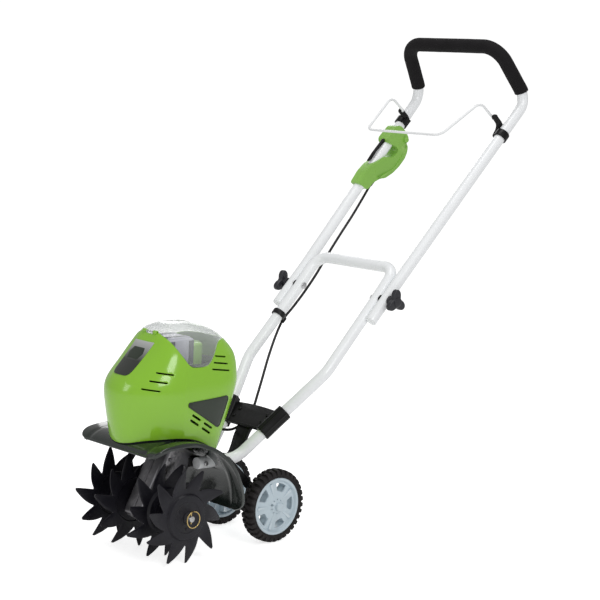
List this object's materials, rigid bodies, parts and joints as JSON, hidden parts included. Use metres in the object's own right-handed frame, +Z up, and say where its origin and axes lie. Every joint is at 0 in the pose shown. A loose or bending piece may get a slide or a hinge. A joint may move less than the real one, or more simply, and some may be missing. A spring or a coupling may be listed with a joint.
{
  "type": "tiller",
  "caption": "Small walk-behind battery tiller with a leaning motor, star tines under a guard, depth wheels and a folding tube handle with a bail.",
  "frame": {"origin": "on the floor, under the middle of the overall width and length", "axes": "+Z up, the front of the machine faces -Y, +X is the operator's left"},
  "size_m": [0.3788, 1.0573, 1.1132],
  "materials": {
    "green_plastic": "glossy moulded, green",
    "guard_plastic": "glossy moulded, very dark green",
    "black_plastic": "satin moulded, black",
    "clear_plastic": "clear moulded",
    "badge_plate": "satin, dark olive",
    "label_plate": "satin, grey",
    "white_tube": "gloss powder coat, white",
    "white_wire": "satin coated, white",
    "foam": "closed-cell foam, black",
    "tine_paint": "satin paint, blue-black",
    "cast_alloy": "as cast",
    "zinc_steel": "zinc plated",
    "yellow_zinc": "yellow zinc plated",
    "bronze": "machined",
    "tyre": "matt",
    "rim_plastic": "satin, pale blue-grey",
    "battery_case": "satin, grey-lavender",
    "copper_windings": "enamelled wire"
  },
  "bodies": {
    "chassis": {"motor_housing": "green_plastic", "lid_hinge_pin": "zinc_steel", "side_badge_left": "badge_plate", "side_badge_right": "badge_plate", "front_label_plate": "label_plate", "battery_bay": "black_plastic", "terminal_block": "black_plastic", "battery_pack": "battery_case", "battery_latch": "green_plastic", "tine_guard": "guard_plastic", "gear_case_left": "cast_alloy", "gear_case_right": "cast_alloy", "shaft_bearing_left": "zinc_steel", "shaft_bearing_right": "zinc_steel", "motor_can": "zinc_steel", "lower_handle": "white_tube", "fold_bolt_left": "zinc_steel", "fold_bolt_right": "zinc_steel", "lower_cable": "black_plastic", "cable_clip": "black_plastic", "handle_bracket": "black_plastic", "bracket_screw_upper_left": "zinc_steel", "bracket_screw_lower_left": "zinc_steel", "bracket_screw_upper_right": "zinc_steel", "bracket_screw_lower_right": "zinc_steel", "support_arm": "black_plastic", "leg_bolt": "zinc_steel", "yoke_bolt": "zinc_steel"},
    "tine_reel": {"tine_shaft": "zinc_steel", "worm_wheel": "bronze", "tine_inner_left": "tine_paint", "tine_inner_right": "tine_paint", "tine_outer_left": "tine_paint", "tine_outer_right": "tine_paint", "hitch_pin_left": "yellow_zinc", "hitch_pin_right": "yellow_zinc"},
    "rotor": {"motor_shaft": "zinc_steel", "armature": "copper_windings", "cooling_fan": "black_plastic"},
    "wheel_carrier": {"wheel_yoke": "black_plastic", "wheel_axle": "zinc_steel"},
    "wheel_left": {"tyre_left": "tyre", "rim_left": "rim_plastic"},
    "wheel_right": {"tyre_right": "tyre", "rim_right": "rim_plastic"},
    "lid": {"battery_lid": "clear_plastic"},
    "upper_frame": {"upper_handle": "white_tube", "foam_grip": "foam", "bail_bracket_left": "black_plastic", "bail_bracket_right": "black_plastic", "switch_box_inner": "green_plastic", "switch_box_outer": "green_plastic", "strain_relief": "black_plastic", "upper_cable": "black_plastic"},
    "knob_left": {"fold_knob_left": "black_plastic"},
    "knob_right": {"fold_knob_right": "black_plastic"},
    "bail_wire": {"bail": "white_wire"},
    "trigger": {"switch_lever": "black_plastic"},
    "button": {"lock_button": "green_plastic"}
  },
  "joints": [
    {"name": "tine_spin", "type": "hinge", "parent": "chassis", "child": "tine_reel", "pos_m": [0, -0.4217, 0.10164], "axis": [1, 0, 0], "continuous": true},
    {"name": "rotor_spin", "type": "hinge", "parent": "chassis", "child": "rotor", "pos_m": [0, -0.44415, 0.11308], "axis": [0, 0.454, 0.891], "continuous": true},
    {"name": "wheel_height", "type": "hinge", "parent": "chassis", "child": "wheel_carrier", "pos_m": [0, -0.2637, 0.1878], "axis": [1, 0, 0], "range_deg": [0, 25]},
    {"name": "wheel_spin_left", "type": "hinge", "parent": "wheel_carrier", "child": "wheel_left", "pos_m": [0.086, -0.1487, 0.0805], "axis": [1, 0, 0], "continuous": true},
    {"name": "wheel_spin_right", "type": "hinge", "parent": "wheel_carrier", "child": "wheel_right", "pos_m": [-0.086, -0.1487, 0.0805], "axis": [1, 0, 0], "continuous": true},
    {"name": "lid_hinge", "type": "hinge", "parent": "chassis", "child": "lid", "pos_m": [0, -0.4369, 0.4708], "axis": [1, 0, 0], "range_deg": [0, 100]},
    {"name": "handle_fold", "type": "hinge", "parent": "chassis", "child": "upper_frame", "pos_m": [0, 0.1028, 0.525], "axis": [1, 0, 0], "range_deg": [0, 115]},
    {"name": "knob_left_turn", "type": "hinge", "parent": "upper_frame", "child": "knob_left", "pos_m": [0.17, 0.1028, 0.525], "axis": [1, 0, 0], "range_deg": [0, 1080]},
    {"name": "knob_right_turn", "type": "hinge", "parent": "upper_frame", "child": "knob_right", "pos_m": [-0.17, 0.1028, 0.525], "axis": [-1, 0, 0], "range_deg": [0, 1080]},
    {"name": "bail_squeeze", "type": "hinge", "parent": "upper_frame", "child": "bail_wire", "pos_m": [0, 0.4403, 0.935], "axis": [1, 0, 0], "range_deg": [-95, 0], "stiffness_Nm_per_rad": 0.2, "springref_deg": 28.65},
    {"name": "trigger_pull", "type": "hinge", "parent": "upper_frame", "child": "trigger", "pos_m": [-0.16285, 0.39815, 0.86251], "axis": [1, 0, 0], "range_deg": [0, 2.8], "stiffness_Nm_per_rad": 0.3, "springref_deg": -11.46},
    {"name": "lock_button_press", "type": "slide", "parent": "upper_frame", "child": "button", "axis": [-1, 0, 0], "range_m": [0, 0.003], "stiffness_N_per_m": 150, "springref_m": -0.002}
  ],
  "couplings": [
    {"joint": "rotor_spin", "follows": "tine_spin", "ratio": 32}
  ]
}
